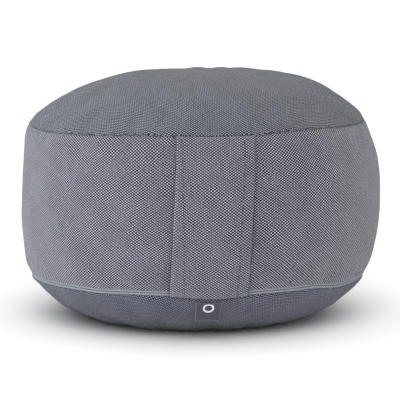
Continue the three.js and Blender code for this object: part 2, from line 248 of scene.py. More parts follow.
def grid_object(name, points, cloth, closed=False, tip=None, leave_out=None):
    """points[row, column] joined by quads. closed wraps the columns round, and then cloth has one
    column more than points. tip is a last point that the final row closes on. leave_out says
    which (row, column) quads are missing."""
    rows, columns = points.shape[:2]
    spans = columns if closed else columns - 1
    faces, corners = [], []
    for i in range(rows - 1):
        for j in range(spans):
            if leave_out and leave_out(i, j):
                continue
            k = (j + 1) % columns
            faces.append((i * columns + j, i * columns + k, (i + 1) * columns + k, (i + 1) * columns + j))
            corners += [cloth[i, j], cloth[i, j + 1], cloth[i + 1, j + 1], cloth[i + 1, j]]
    flat = points.reshape(-1, 3)
    if tip is not None:
        flat = np.vstack([flat, tip[0]])
        last = (rows - 1) * columns
        for j in range(spans):
            faces.append((last + j, last + (j + 1) % columns, len(flat) - 1))
            corners += [cloth[-1, j], cloth[-1, j + 1], tip[1]]
    return mesh_object(name, flat, faces, corners)


def thicken(piece, thickness, offset=-1.0):
    solid = piece.modifiers.new("thickness", "SOLIDIFY")
    solid.thickness = thickness
    solid.offset = offset
    apply_modifiers(piece)


def apply_modifiers(piece):
    graph = bpy.context.evaluated_depsgraph_get()
    graph.update()
    mesh = bpy.data.meshes.new_from_object(piece.evaluated_get(graph))
    piece.modifiers.clear()
    piece.data = mesh
    shade_smooth(mesh)


def distances(points):
    """How far along a polyline each of its points is."""
    return np.concatenate([[0], np.cumsum(np.linalg.norm(np.diff(points, axis=0), axis=1))])


def outline(points, spacing=ROW):
    """A polyline's points, with long stretches split, and the distance along it of each."""
    points = [np.asarray(p, float) for p in points]
    found = [points[0]]
    for a, b in zip(points, points[1:]):
        steps = max(1, math.ceil(np.linalg.norm(b - a) / spacing))
        found += [a + (b - a) * k / steps for k in range(1, steps + 1)]
    found = np.array(found)
    return found, distances(found)


def outward(profile):
    """The unit normal of each point of an (r, z) profile that runs from the base to the top."""
    along = np.gradient(profile, axis=0)
    along /= np.linalg.norm(along, axis=1, keepdims=True)
    return np.stack([along[:, 1], -along[:, 0]], -1)


def tubes(paths, radius, sides):
    """One mesh of round threads, each along a list of points, with closed ends."""
    points, faces = [], []
    ring = np.arange(sides) * TAU / sides
    for path in paths:
        path = np.asarray(path, float)
        along = np.gradient(path, axis=0)
        along /= np.linalg.norm(along, axis=1, keepdims=True)
        side = np.cross(along, [0, 0, 1.0])
        flat = np.linalg.norm(side, axis=1) < 1e-6
        side[flat] = np.cross(along[flat], [0, 1.0, 0])
        side /= np.linalg.norm(side, axis=1, keepdims=True)
        up = np.cross(side, along)
        start = len(points)
        for p, s, t in zip(path, side, up):
            points += [p + radius * (math.cos(a) * s + math.sin(a) * t) for a in ring]
        for i in range(len(path) - 1):
            for j in range(sides):
                a, b = start + i * sides + j, start + i * sides + (j + 1) % sides
                faces.append((a, a + sides, b + sides, b))
        faces.append(tuple(start + j for j in range(sides)))
        last = start + (len(path) - 1) * sides
        faces.append(tuple(last + j for j in reversed(range(sides))))
    return np.array(points), faces


def flat_piece(name, outlines, thickness, bevel):
    """A plate with rounded edges, from closed outlines in its own plane. Later ones are holes."""
    curve = bpy.data.curves.new(name, "CURVE")
    curve.dimensions = "2D"
    curve.fill_mode = "BOTH"
    curve.extrude = thickness / 2 - bevel
    curve.bevel_depth = bevel
    curve.bevel_resolution = 2
    curve.offset = -bevel
    for points in outlines:
        spline = curve.splines.new("POLY")
        spline.points.add(len(points) - 1)
        for point, (x, y) in zip(spline.points, points):
            point.co = (x, y, 0, 1)
        spline.use_cyclic_u = True
    holder = new_object(name + "_outline", curve)
    graph = bpy.context.evaluated_depsgraph_get()
    mesh = bpy.data.meshes.new_from_object(holder.evaluated_get(graph))
    bpy.data.objects.remove(holder)
    mesh.name = name
    return new_object(name, mesh)


def joined(name, *parts):
    """One object made of several."""
    points, faces, start = [], [], 0
    for part in parts:
        bpy.context.view_layer.update()
        world = part.matrix_world
        points += [world @ v.co for v in part.data.vertices]
        faces += [tuple(start + i for i in f.vertices) for f in part.data.polygons]
        start += len(part.data.vertices)
        bpy.data.objects.remove(part)
    return mesh_object(name, np.array([list(p) for p in points]), faces)


# ---- materials ----

def srgb(red, green, blue):
    def channel(value):
        value /= 255
        return value / 12.92 if value <= 0.04045 else ((value + 0.055) / 1.055) ** 2.4
    return (channel(red), channel(green), channel(blue), 1.0)


class Finish:
    """A material and the nodes that make its colour and relief."""

    def __init__(self, name, roughness, sheen=0.0, sheen_roughness=0.5, metallic=0.0, specular=0.3):
        self.material = bpy.data.materials.new(name)
        self.material.use_nodes = True
        self.nodes = self.material.node_tree.nodes
        self.links = self.material.node_tree.links
        self.shader = self.nodes["Principled BSDF"]
        self.shader.inputs["Roughness"].default_value = roughness
        self.shader.inputs["Sheen Weight"].default_value = sheen
        self.shader.inputs["Sheen Roughness"].default_value = sheen_roughness
        self.shader.inputs["Metallic"].default_value = metallic
        self.shader.inputs["Specular IOR Level"].default_value = specular

    def put(self, socket, value):
        if isinstance(value, bpy.types.NodeSocket):
            self.links.new(value, socket)
        elif value is not None:
            socket.default_value = value

    def math(self, operation, a, b=None):
        node = self.nodes.new("ShaderNodeMath")
        node.operation = operation
        self.put(node.inputs[0], a)
        self.put(node.inputs[1], b)
        return node.outputs[0]

    def vector(self, operation, a, b):
        node = self.nodes.new("ShaderNodeVectorMath")
        node.operation = operation
        self.put(node.inputs[0], a)
        self.put(node.inputs[3 if operation == "SCALE" else 1], b)
        return node.outputs[0]

    def cloth_place(self):
        """Where a point is on the flat cloth, in millimetres."""
        node = self.nodes.new("ShaderNodeUVMap")
        node.uv_map = "cloth"
        return self.vector("SCALE", node.outputs[0], 1000.0)

    def place(self):
        """Where a point is on the cushion, in millimetres."""
        node = self.nodes.new("ShaderNodeTexCoord")
        return self.vector("SCALE", node.outputs["Object"], 1000.0)

    def split(self, vector):
        node = self.nodes.new("ShaderNodeSeparateXYZ")
        self.put(node.inputs[0], vector)
        return node.outputs

    def noise(self, place, scale, detail=2.0, roughness=0.5):
        node = self.nodes.new("ShaderNodeTexNoise")
        self.put(node.inputs["Vector"], place)
        self.put(node.inputs["Scale"], scale)
        self.put(node.inputs["Detail"], detail)
        self.put(node.inputs["Roughness"], roughness)
        return node.outputs["Fac"]

    def streaks(self, cloth, across, up, detail=1.0):
        """Noise stretched along the cloth."""
        return self.noise(self.vector("MULTIPLY", cloth, (across, up, 0)), 1.0, detail)

    def swing(self, noise, size):
        """Noise as a move to either side of nothing."""
        return self.math("MULTIPLY", self.math("SUBTRACT", noise, 0.5), size)

    def wave(self, value, period, operation="SINE"):
        return self.math(operation, self.math("MULTIPLY", value, TAU / period))

    def ramp(self, value, low, high, to_low=0.0, to_high=1.0):
        node = self.nodes.new("ShaderNodeMapRange")
        node.interpolation_type = "SMOOTHSTEP"
        self.put(node.inputs["Value"], value)
        for socket, number in zip(list(node.inputs)[1:5], (low, high, to_low, to_high)):
            socket.default_value = number
        return node.outputs[0]

    def mix(self, share, a, b, blend="MIX"):
        node = self.nodes.new("ShaderNodeMix")
        node.data_type = "RGBA"
        node.blend_type = blend
        self.put(node.inputs["Factor"], share)
        self.put(node.inputs["A"], a)
        self.put(node.inputs["B"], b)
        return node.outputs["Result"]

    def shaded(self, colour, shade):
        """A colour made lighter or darker."""
        node = self.nodes.new("ShaderNodeCombineColor")
        for socket in node.inputs:
            self.put(socket, shade)
        return self.mix(1.0, colour, node.outputs[0], "MULTIPLY")

    def done(self, colour, height, depth):
        """Gives the shader its colour, and its relief from a height."""
        self.put(self.shader.inputs["Base Color"], colour)
        bump = self.nodes.new("ShaderNodeBump")
        self.put(bump.inputs["Height"], height)
        bump.inputs["Distance"].default_value = depth
        bump.inputs["Strength"].default_value = 1.0
        self.put(self.shader.inputs["Normal"], bump.outputs[0])
        return self.material


WEAVE_ACROSS = 3.22                     # millimetres between pale yarns in a row
WEAVE_UP = 2.42                         # millimetres between two such rows
NAVY_YARN = srgb(11, 13, 28)
PALE_YARN = srgb(178, 180, 193)
FOOT_SHADE = 0.62                       # painted shade: how much darker the cloth is made where it stands, for the contact shadow
FOOT_SHADE_TOP = 14.0                   # and the height that it reaches, in millimetres


def weave_finish(name, dark=NAVY_YARN, light=PALE_YARN, painted_shade=0.0, sheen=0.35):
    """Plain weave of pale yarns over dark ones: short pale floats, each row set half a step on.
    The shade it is given darkens the cloth near the ground: painted shade for the contact shadow there."""
    f = Finish(name, roughness=0.9, sheen=sheen, sheen_roughness=0.45, specular=0.15)
    cloth = f.cloth_place()
    wander = f.swing(f.streaks(cloth, 0.35, 0.35), 0.5)
    bow = f.swing(f.streaks(cloth, 0.02, 0.02), 6.0)
    along = f.split(cloth)
    across = f.math("ADD", along[0], wander)
    up = f.math("ADD", f.math("ADD", along[1], bow), wander)
    over = f.math("MULTIPLY", f.wave(across, WEAVE_ACROSS, "COSINE"), f.wave(up, WEAVE_UP, "COSINE"))
    yarn = f.streaks(cloth, 1.1, 0.09)
    fleck = f.noise(cloth, 1.7, 2.0, 0.7)
    colour = f.mix(f.ramp(f.math("ADD", over, f.swing(fleck, 0.7)), -0.05, 0.5), dark, light)
    patch = f.noise(cloth, 0.03, 3.0, 0.55)
    shade = f.math("ADD", f.ramp(patch, 0.3, 0.7, 0.93, 1.07), f.ramp(yarn, 0.3, 0.7, -0.09, 0.09))
    colour = f.shaded(colour, shade)
    # Painted shade: the cloth is made darker towards the ground, for the contact shadow under the cushion.
    if painted_shade:
        level = f.math("ADD", f.split(f.place())[2], f.swing(patch, 5.0))
        colour = f.shaded(colour, f.ramp(level, 0.0, FOOT_SHADE_TOP, 1 - painted_shade, 1.0))
    height = f.math("ADD", f.math("ABSOLUTE", over), f.math("MULTIPLY", fleck, 0.5))
    return f.done(colour, height, 0.35 * MM)


def tape_finish(name, colour, selvage=None):
    """Fine twill tape, with a crosswise rib. selvage has the half width of a piece whose sides and
    lower end are woven in a paler thread, in millimetres, and the paler colour."""
    f = Finish(name, roughness=0.75, sheen=0.25, specular=0.25)
    cloth = f.cloth_place()
    along = f.split(cloth)
    rib = f.wave(f.math("ADD", along[0], f.math("MULTIPLY", along[1], 0.8)), 0.7)
    wear = f.noise(cloth, 0.25, 3.0)
    shade = f.math("ADD", f.ramp(rib, -1, 1, 0.88, 1.04), f.ramp(wear, 0.3, 0.7, -0.06, 0.06))
    if selvage:
        half, paler = selvage
        at_side = f.ramp(f.math("ABSOLUTE", along[0]), half - 0.9, half - 0.5)
        at_end = f.ramp(along[1], 0.9, 0.5)
        colour = f.mix(f.math("MAXIMUM", at_side, at_end), colour, paler)
    return f.done(f.shaded(colour, shade), rib, 0.08 * MM)


def plain_finish(name, colour, roughness, metallic=0.0, grain=0.6, spread=0.08, depth=0.03, sheen=0.0):
    """Moulded, cast or plain woven stuff: a slight mottle in colour and a fine grain in relief."""
    f = Finish(name, roughness, sheen=sheen, metallic=metallic)
    place = f.place()
    mottle = f.noise(place, grain * 0.3, 3.0)
    fine = f.noise(place, grain * 3, 2.0)
    return f.done(f.shaded(colour, f.ramp(mottle, 0.3, 0.7, 1 - spread, 1 + spread)), fine, depth * MM)


def cotton_finish(name, colour):
    """Plain undyed cotton, with crossing yarns."""
    f = Finish(name, roughness=0.9, sheen=0.2, specular=0.2)
    cloth = f.cloth_place()
    across, up = (f.wave(out, 1.3) for out in f.split(cloth)[:2])
    weave = f.math("MULTIPLY", across, up)
    slub = f.streaks(cloth, 0.5, 0.08, 3.0)
    shade = f.math("ADD", f.ramp(weave, -1, 1, 0.92, 1.02), f.ramp(slub, 0.3, 0.7, -0.05, 0.05))
    return f.done(f.shaded(colour, shade), weave, 0.1 * MM)


def husk_finish(name):
    """Loose husks: small curled flakes in several browns."""
    f = Finish(name, roughness=0.8)
    place = f.place()
    cells = f.nodes.new("ShaderNodeTexVoronoi")
    f.put(cells.inputs["Vector"], place)
    cells.inputs["Scale"].default_value = 0.22
    tone = f.nodes.new("ShaderNodeSeparateColor")
    f.put(tone.inputs[0], cells.outputs["Color"])
    colour = f.mix(tone.outputs[0], srgb(120, 86, 48), srgb(203, 168, 112))
    return f.done(colour, cells.outputs["Distance"], 2 * MM)


COVER_CLOTH = weave_finish("two_tone_weave")
# Painted shade: the top and the base are darker copies of the cover cloth, so that they stay darker than
# the band under this light.
SHADED_TOP_CLOTH = weave_finish("two_tone_weave_top_shaded", srgb(11, 14, 28), srgb(165, 169, 180), sheen=0.2)
SHADED_BASE_CLOTH = weave_finish("two_tone_weave_base_shaded", srgb(11, 14, 30), srgb(146, 150, 167), FOOT_SHADE, 0.2)
TAPE_CLOTH = tape_finish("zip_tape_twill", srgb(146, 152, 163))
COIL_NYLON = plain_finish("zip_coil_nylon", srgb(84, 92, 104), 0.45)
ZIP_METAL = plain_finish("zip_enamel", srgb(112, 120, 130), 0.38, metallic=0.6, depth=0.01)
THREAD = plain_finish("seam_thread", srgb(38, 40, 54), 0.8, sheen=0.2)
LABEL_CLOTH = tape_finish("label_satin", srgb(66, 68, 80), (LABEL_HALF / MM, srgb(112, 114, 124)))
LABEL_MARK = plain_finish("label_thread", srgb(226, 227, 236), 0.7, sheen=0.2)
LINER_COTTON = cotton_finish("liner_cotton", srgb(230, 224, 208))
LINER_NYLON = plain_finish("liner_zip_nylon", srgb(232, 228, 218), 0.5)
HUSKS = husk_finish("husks")


def finish_piece(piece, material, body="cushion", replaces=()):
    piece.data.materials.clear()
    piece.data.materials.append(material)
    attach(piece, body)
    if replaces:
        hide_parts(*replaces)


# ---- the cover's three panels ----

PULL_OUT = 4.0                          # pressure that fills the cover while its cloth settles
SETTLE_FRAMES = 20
RELIEF_CAP = 1.4 * MM                   # the most that the settled cloth may stand in or out
RELIEF_COLUMNS = 160
MIDDLE_HOLE = 4 * MM                    # radius of the ring of points nearest a bag's middle
SETTLED = {}                            # how far each part of the cover stands out, by its name


def bag_rows(widest, top, base, foot, low, high, crown=CROWN, spacing=5.5 * MM):
    """(r, z) rows of a round bag's base, band and top. top and base are the (r, z) of its seams."""
    def spread(start, end):
        return np.linspace(start, end, max(2, round(abs(end - start) / spacing)))

    base_r = spread(MIDDLE_HOLE, base[0])
    heights = spread(base[1], top[1])
    top_r = spread(top[0], MIDDLE_HOLE)
    return {"base": np.stack([base_r, dished(base_r, base, low, foot)], -1),
            "band": np.stack([bulged(heights, widest, base, top), heights], -1),
            "top": np.stack([top_r, crowned(top_r, top, high, crown)], -1)}


def settle_cover():
    """Blows the cover up as cloth, held at its seams and its foot, and keeps how it creases."""
    rows = bag_rows(WIDEST, (TOP_R, TOP_Z), (BASE_R, BASE_Z), FOOT_R, 0, HEIGHT)
    rows["band"] = rows["band"][1:-1]
    profile = np.concatenate(list(rows.values()))
    angle = np.arange(RELIEF_COLUMNS) * TAU / RELIEF_COLUMNS
    flat = place(profile[:, 0:1], profile[:, 1:2], angle)
    across, up = outward(profile).T[:, :, None]
    unit = np.stack([across * np.sin(angle), -across * np.cos(angle), up + 0 * angle], -1)
    share = np.arange(len(profile))[:, None] / len(profile)
    rough = sum(waves(angle + k * 0.7 * share, 60 + k, 5, 26, 6) for k in (-3, -1, 1, 3))
    start = flat + 0.35 * MM * rough[..., None] * unit
    cloth = np.zeros((len(profile), RELIEF_COLUMNS + 1, 2))
    skin = grid_object("settling", start, cloth, closed=True)
    skin.data.validate()
    ends = np.cumsum([len(part) for part in rows.values()])
    group = skin.vertex_groups.new(name="held")
    for row, (radius, _) in enumerate(profile):
        seam = row in (0, len(profile) - 1) or any(abs(row + 0.5 - end) < 1.2 for end in ends[:2])
        foot = row < ends[0] and radius < FOOT_R
        if seam or foot:
            first = row * RELIEF_COLUMNS
            group.add(list(range(first, first + RELIEF_COLUMNS)), 1.0, "REPLACE")
    run_cloth(skin)
    moved = np.array([v.co[:] for v in skin.data.vertices]).reshape(start.shape)
    bpy.data.objects.remove(skin)
    out = np.sum((moved - flat) * unit, -1)
    out -= out.mean(1, keepdims=True)
    out = RELIEF_CAP * np.tanh(out / RELIEF_CAP)
    for name, part in zip(rows, np.split(out, ends[:2])):
        SETTLED[name] = part


def run_cloth(skin):
    cloth = skin.modifiers.new("settling", "CLOTH")
    settings = cloth.settings
    settings.quality = 6
    settings.mass = 0.3
    settings.tension_stiffness = 20
    settings.compression_stiffness = 20
    settings.shear_stiffness = 10
    settings.bending_stiffness = 0.4
    settings.use_pressure = True
    settings.uniform_pressure_force = PULL_OUT
    settings.shrink_min = -0.02
    settings.vertex_group_mass = "held"
    settings.effector_weights.gravity = 0
    cloth.point_cache.frame_start = 1
    cloth.point_cache.frame_end = SETTLE_FRAMES
    scene = bpy.context.scene
    for number in range(1, SETTLE_FRAMES + 1):
        scene.frame_set(number)
    apply_modifiers(skin)
    scene.frame_set(1)


def relief(part, share, angle):
    """How far the settled cloth stands out at a share of the way up a part of the cover."""
    if part not in SETTLED:
        return 0 * share
    field = SETTLED[part]
    row = np.clip(share, 0, 1) * (len(field) - 1)
    column = (np.asarray(angle) / TAU) % 1 * RELIEF_COLUMNS
    i = np.minimum(row.astype(int), len(field) - 2)
    j = column.astype(int) % RELIEF_COLUMNS
    k = (j + 1) % RELIEF_COLUMNS
    u, v = row - i, column - np.floor(column)
    low = field[i, j] * (1 - v) + field[i, k] * v
    high = field[i + 1, j] * (1 - v) + field[i + 1, k] * v
    fade = smooth(0, 0.06, share) * (1 - smooth(0.94, 1, share))
    return fade * (low * (1 - u) + high * u)


def panel(name, profile, lengths, shape, flat, tip=None):
    """A panel of revolution. shape gives, for each (distance along the profile, angle), a move off
    the surface and a rise; flat gives the place on the cloth."""
    angle = np.arange(ROUND) * TAU / ROUND
    normal = outward(profile)
    out, rise = shape(lengths[:, None], angle)
    r = profile[:, 0:1] + out * normal[:, 0:1]
    z = np.maximum(profile[:, 1:2] + out * normal[:, 1:2] + rise, 0)
    cloth = flat(*np.meshgrid(lengths, np.append(angle, TAU), indexing="ij"))
    return grid_object(name, place(r, z, angle), cloth, closed=True, tip=tip)


def cover_panel(piece, material, node):
    thicken(piece, CLOTH / 2)
    finish_piece(piece, material, replaces=[node])


def puckers(angle, seed):
    return waves(angle, seed, 30, 70, 14) * (0.6 + 0.4 * waves(angle, seed + 1, 2, 7))


def near(distance, reach):
    return np.exp(-np.abs(distance) / reach)


def fading(distance, reach):
    """1 as far as a line, and fading past it."""
    return near(np.clip(distance, 0, None), reach)


def side_band():
    start = float(on_zip(HEM_U, ZIP_DEPTH)[1]) + 0.9 * MM
    heights = np.linspace(start, TOP_Z - 0.2 * MM, 60)
    dip = 0.8 * MM * near(heights - start, 3 * MM) + 1.9 * MM * near(TOP_Z - heights, 1.5 * MM)
    face = np.stack([side_radius(heights) - dip, heights], -1)
    hem = zip_line(HEM_U, (5, 0.5), (0.4, 0.4), (0, 0.6), (0.2, 0.9))
    turned = [(TOP_R - TURN_IN, TOP_Z - 0.4 * MM)]
    profile, lengths = outline([*hem, *face, *turned])
    top = lengths[-1] - TURN_IN
    hem_at = 5 * MM

    def shape(s, a):
        out = 0.45 * MM * puckers(a, 21) * near(s - top, 9 * MM) * (s < top + MM)
        out += 0.3 * MM * puckers(a, 31) * near(s - hem_at, 8 * MM) * smooth(hem_at, hem_at + 6 * MM, s)
        out += relief("band", np.clip((s - hem_at) / (top - hem_at), 0, 1), a)
        rise = zip_wave(a) * fading(s - hem_at, 22 * MM)
        rise += top_sag(a) * fading(top - s, 22 * MM)
        rise -= ZIP_CLOSE * (1 - at_the_back(a)) * fading(s - hem_at, 4 * MM)
        return out, rise

    def flat(s, a):
        lean = HANDLE_TWIST * (s - top / 2) / top
        return np.stack([(a - lean) * CLOTH_R, s], -1)

    piece = panel("side_band_cloth", profile, lengths, shape, flat)
    cover_panel(piece, COVER_CLOTH, "side_band")


def disc_flat(rim_length):
    """The place on a flat disc of cloth, from the distance in from its rim."""
    def flat(s, a):
        out = np.clip(rim_length - s, 0, None)
        return np.stack([out * np.sin(a), -out * np.cos(a)], -1)
    return flat


def top_panel():
    radii = np.concatenate([TOP_R - np.array([0.2, 0.8, 1.6, 2.8, 4.5, 7]) * MM,
                            np.linspace(TOP_R - 10 * MM, 3 * MM, 48)])
    dip = 1.5 * MM * near(TOP_R - radii, 1.6 * MM)
    face = np.stack([radii, crown_z(radii) - dip], -1)
    turned = [(TOP_R - TURN_IN, TOP_Z + 0.5 * MM), (TOP_R - 1.4 * MM, TOP_Z + 0.1 * MM)]
    profile, lengths = outline([*turned, *face])
    whole = lengths[-1] + 3 * MM
    seam = lengths[2]

    def shape(s, a):
        out = 0.45 * MM * puckers(a, 21) * near(s - seam, 11 * MM) * (s > seam)
        share = np.clip((s - seam) / (whole - seam), 0, 1)
        out += relief("top", share, a) * (1 - smooth(0.6, 0.93, share))
        return out, top_sag(a) * fading(s - seam, 22 * MM)

    tip = (place(0.0, HEIGHT, 0.0)[None, :], (0, 0))
    piece = panel("top_panel_cloth", profile, lengths, shape, disc_flat(whole), tip)
    cover_panel(piece, SHADED_TOP_CLOTH, "top_panel")


def base_panel():
    edge = on_zip(BASE_EDGE_U - 1.1 * MM, ZIP_DEPTH)
    radii = np.concatenate([np.linspace(4 * MM, FOOT_R, 22),
                            np.linspace(FOOT_R + 3 * MM, edge[0] - MM, 34)])
    face = np.stack([radii, base_z(radii)], -1)
    rim = zip_line(BASE_EDGE_U, (-0.5, 1.5), (0, 0.85), (-0.1, 0.35), (-0.8, 0), (-1, -5))
    profile, lengths = outline([*face, *rim])
    seam = lengths[-1] - 5 * MM

    def shape(s, a):
        out = 0.35 * MM * puckers(a, 41) * near(s - seam, 9 * MM) * (s < seam)
        out += relief("base", np.clip(s / seam, 0, 1), a) * smooth(0.1, 0.4, s / seam)
        rise = zip_wave(a) * fading(seam - s, 13 * MM)
        rise += ZIP_CLOSE * (1 - at_the_back(a)) * fading(seam - s, 4 * MM)
        return -out, rise

    def flat(s, a):
        return np.stack([s * np.sin(a), -s * np.cos(a)], -1)

    # The rows run from the rim to the tip, so their normals and faces point in.
    tip = (place(0.0, 0.0, 0.0)[None, :], (0, 0))
    piece = panel("base_panel_cloth", profile[::-1], lengths[::-1], shape, flat, tip)
    piece.data.flip_normals()
    cover_panel(piece, SHADED_BASE_CLOTH, "base_panel")


# ---- the zip ----

def zip_ribbon(name, points):
    """A ribbon round the cushion. Each section point is (u, n, extra n away from the back)."""
    section = np.array(points) * MM
    u, n, extra = section.T[:, :, None]
    angle = np.linspace(-ZIP_END, ZIP_END, 600)
    r, z = on_zip(u, n + extra * (1 - at_the_back(angle)))
    cloth = np.stack(np.meshgrid(angle * ZIP_R, distances(section[:, :2])), -1)
    return grid_object(name, place(r, z + zip_wave(angle), angle), cloth)


def zip_tapes():
    ridge = [(0.36, -0.28, 0), (0.36, 0.1, 0.15), (0.5, 0.38, 0.35), (0.85, 0.54, 0.5), (1.35, 0.55, 0.55),
             (1.85, 0.48, 0.4), (2.15, 0.34, 0.1), (2.5, 0.3, 0)]
    upper = zip_ribbon("zip_tape_upper_cloth", [*ridge, (5, 0.3, 0), (8, 0.3, 0), (8, -0.28, 0),
                                                (4, -0.28, 0), (0.37, -0.29, 0)])
    below = [(-u, n, extra) for u, n, extra in reversed(ridge)]
    lower = zip_ribbon("zip_tape_lower_cloth", [(-0.37, -0.29, 0), (-3.2, -0.29, 0), (-3.2, -5.5, 0),
                                                (-3.6, -5.5, 0), (-3.6, -0.1, 0), (-3.1, 0.15, 0), *below])
    finish_piece(upper, TAPE_CLOTH, replaces=["cover_zip_tape_upper"])
    finish_piece(lower, TAPE_CLOTH, replaces=["cover_zip_tape_lower"])


def zip_coil(side, name, node):
    """A nylon coil: a helix of fine wire behind a tape's edge."""
    pitch, wire = 1.7 * MM, 0.24 * MM
    start, end = math.radians(-168), math.radians(168)
    turns = int((end - start) * ZIP_R / pitch)
    t = np.linspace(0, 1, turns * 8 + 1)
    spin = t * turns * TAU
    u = side * (1.4 * MM + 0.5 * MM * np.cos(spin))
    n = -1.5 * MM + 0.52 * MM * np.sin(spin)
    angle = start + (end - start) * t
    r, z = on_zip(u, n)
    points, faces = tubes([place(r, z + zip_wave(angle), angle)], wire, 5)
    finish_piece(mesh_object(name, points, faces), COIL_NYLON, replaces=[node])


def zip_patch():
    """The cloth between the two ends of the zip, at the back."""
    rows = zip_line(HEM_U, (3, 1.75), (0, 1.6))
    rows += zip_line(0, (0, 1.5))
    rows += zip_line(BASE_EDGE_U, (1, 1.45), (0.3, 0.9), (0, -2))
    profile, lengths = outline(rows, MM)
    half = math.pi - ZIP_END + math.radians(0.5)
    angle = np.linspace(math.pi - half, math.pi + half, 25)
    fold = np.minimum(1, (half - np.abs(angle - math.pi)) / (0.8 * MM / ZIP_R))
    r = profile[:, 0:1] - (1 - fold) * 1.1 * MM
    cloth = np.stack(np.meshgrid(angle * CLOTH_R, lengths), -1)
    piece = grid_object("zip_end_patch", place(r, profile[:, 1:2], angle), cloth)
    piece.data.flip_normals()
    thicken(piece, CLOTH / 2, 1.0)
    finish_piece(piece, COVER_CLOTH)


UPRIGHT = Matrix.Rotation(math.pi / 2, 4, "X")


def zip_frame():
    """Places a piece made in zip axes (x along, y inwards, z up the tape) at the parked slider."""
    turn = Matrix.Rotation(SLIDER_ANGLE, 4, "Z")
    out = Matrix.Translation((0, -ZIP_R, ZIP_Z))
    return turn @ out @ Matrix.Rotation(ZIP_TILT, 4, "X")


def in_mm(*points):
    return [(x * MM, y * MM) for x, y in points]


def arc(middle, across, up, start, end, steps):
    """Points along part of an ellipse, in millimetres, for angles in turns."""
    turns = np.linspace(start, end, steps + 1) * TAU
    return [(middle + across * math.cos(t), up * math.sin(t)) for t in turns]


def plate_outline(half_width):
    """A slider plate, in millimetres: wide and round at the mouth, drawn in towards the tail."""
    half_length, nose = 4.2, 0.72 * half_width
    mouth = arc(-0.55 * half_length, 0.45 * half_length, half_width, 0.25, 0.75, 24)
    tail = [(0.2 * half_length, -half_width), (half_length, -nose), (half_length, nose),
            (0.2 * half_length, half_width)]
    return in_mm(*mouth, *tail)


def zip_slider():
    def plate(name, half_width, low, high):
        made = flat_piece(name, [plate_outline(half_width)], high - low, 0.22 * MM)
        made.matrix_world = Matrix.Translation((0, -(low + high) / 2, 0)) @ UPRIGHT
        return made

    front = plate("slider_front", 2.0, 0.68 * MM, 1.65 * MM)
    back = plate("slider_back", 3.0, -3.85 * MM, -2.98 * MM)
    face_down = Matrix.Rotation(math.pi, 4, "X")
    web_outline = in_mm((-1.8, -3.2), (2.2, -3.2), (2.2, 1), (-1.8, 1))
    web = flat_piece("slider_web", [web_outline], 0.6 * MM, 0.1 * MM)
    web.matrix_world = face_down
    rim_outline = in_mm((-3.4, -3.6), (3.4, -3.6), (3, -1), (-3, -1))
    rims = []
    for side in (-1, 1):
        rim = flat_piece("slider_rim", [rim_outline], 0.46 * MM, 0.12 * MM)
        rim.matrix_world = Matrix.Translation((0, 0, side * 2.74 * MM)) @ face_down
        rims.append(rim)
    t = np.linspace(0, math.pi, 15)
    arch = np.stack([-2.45 * MM * np.cos(t), -(1.5 * MM + 1.75 * MM * np.sin(t) ** 0.6), 0 * t], -1)
    points, faces = tubes([arch], 0.42 * MM, 8)
    bail = mesh_object("slider_bail", points, faces)
    piece = joined("zip_slider_body", front, back, web, *rims, bail)
    piece.data.transform(zip_frame())
    smooth_edges(piece)
    finish_piece(piece, ZIP_METAL, "cover_slider", ["cover_zip_slider"])


def smooth_edges(piece):
    piece.data.update()
    piece.data.set_sharp_from_angle(angle=math.radians(40))


def zip_pull():
    """A tab with a window at its root, hung on the slider's bail."""
    half, length = 2.1, 17
    root = [(0.4, -0.8 * half), (0.4, 0.8 * half), (-4.2, 0.85 * half), (-7, 0.7 * half)]
    tip = arc(half - length, half, half, 0.25, 0.75, 12)
    outer = in_mm(*root, *tip, (-7, -0.7 * half), (-4.2, -0.85 * half))
    window = in_mm((-0.42, -1.05), (-3.9, -1.05), (-3.9, 1.05), (-0.42, 1.05))
    grip = in_mm(*arc(3.4 - length, 1.1, 0.75, 0, 15 / 16, 15))
    piece = flat_piece("zip_pull_tab", [outer, window, grip], 0.7 * MM, 0.16 * MM)
    piece.data.transform(zip_frame() @ Matrix.Translation((0, -2.35 * MM, 0)) @ UPRIGHT)
    smooth_edges(piece)
    finish_piece(piece, ZIP_METAL, "cover_pull", ["cover_zip_pull"])


def thread_piece(name, paths, radius, sides):
    points, faces = tubes(paths, radius, sides)
    finish_piece(mesh_object(name, points, faces), THREAD)


def seam_stitches(name, at, seed, length=2.6 * MM, gap=0.9 * MM, radius=0.42 * MM):
    """Short stitches of dark thread lying in a seam. at gives (r, z) for an angle."""
    around = at(0.0)[0]
    count = int(TAU * around / (length + gap))
    rng = np.random.default_rng(seed)
    paths = []
    for k in range(count):
        middle = (k + rng.uniform(-0.1, 0.1)) * TAU / count
        reach = length / 2 / around
        angle = middle + np.linspace(-reach, reach, 4)
        r, z = np.array([at(a) for a in angle]).T
        sag = np.array([0.5, 0, 0, 0.5]) * MM
        paths.append(place(r - sag, z, angle))
    thread_piece(name, paths, radius, 5)


def handle_centre(z):
    """The angle of the handle's middle line at a height."""
    share = (z - (TOP_Z + BASE_Z) / 2) / (TOP_Z - BASE_Z)
    return share * HANDLE_TWIST - lean(z) / TOP_R


def under_handle(angle, level):
    """1 across the handle's width at a height, and 0 beside it."""
    half = HANDLE_HALF / TOP_R
    return 1 - float(smooth(half - 0.01, half + 0.01, from_handle(angle - handle_centre(level))))


def top_seam(angle):
    return TOP_R + (-1.2 + 1.3 * under_handle(angle, TOP_Z)) * MM, TOP_Z + 0.1 * MM + float(top_sag(angle))


def base_seam(angle):
    lift = 0.35 * MM + 1.5 * MM * under_handle(angle, BASE_Z)
    r, z = on_zip(BASE_EDGE_U + 0.3 * MM, lift)
    return r, z + float(zip_wave(angle))


# ---- handle and label ----

